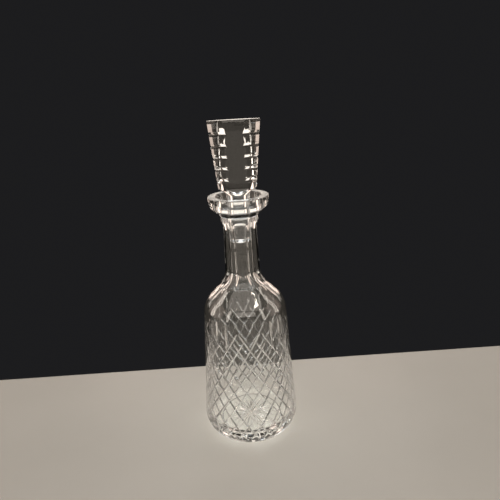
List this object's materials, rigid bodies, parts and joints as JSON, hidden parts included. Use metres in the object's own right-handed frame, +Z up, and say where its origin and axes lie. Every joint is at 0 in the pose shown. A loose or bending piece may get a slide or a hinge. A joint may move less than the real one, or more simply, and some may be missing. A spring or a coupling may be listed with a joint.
{
  "type": "decanter",
  "caption": "Clear cut crystal decanter with a tapering body, fluted neck, bowl-shaped collar and a lift-out ground glass stopper with notched edges.",
  "frame": {"origin": "middle of the flat foot ring, on the surface that the decanter stands on", "axes": "+Z up along the axis of the bottle and the stopper, +Y towards the back, +X to the right of someone who faces the stopper's broad side"},
  "size_m": [0.1026, 0.1026, 0.33],
  "materials": {
    "cut_crystal": "clear, wheel cut and polished",
    "stopper_crystal": "clear and polished, the plug ground"
  },
  "bodies": {
    "bottle": {"decanter_body": "cut_crystal"},
    "stopper": {"stopper": "stopper_crystal"}
  },
  "joints": [
    {"name": "stopper_lift", "type": "slide", "parent": "bottle", "child": "stopper", "axis": [0, 0, 1], "range_m": [0, 0.06]}
  ]
}
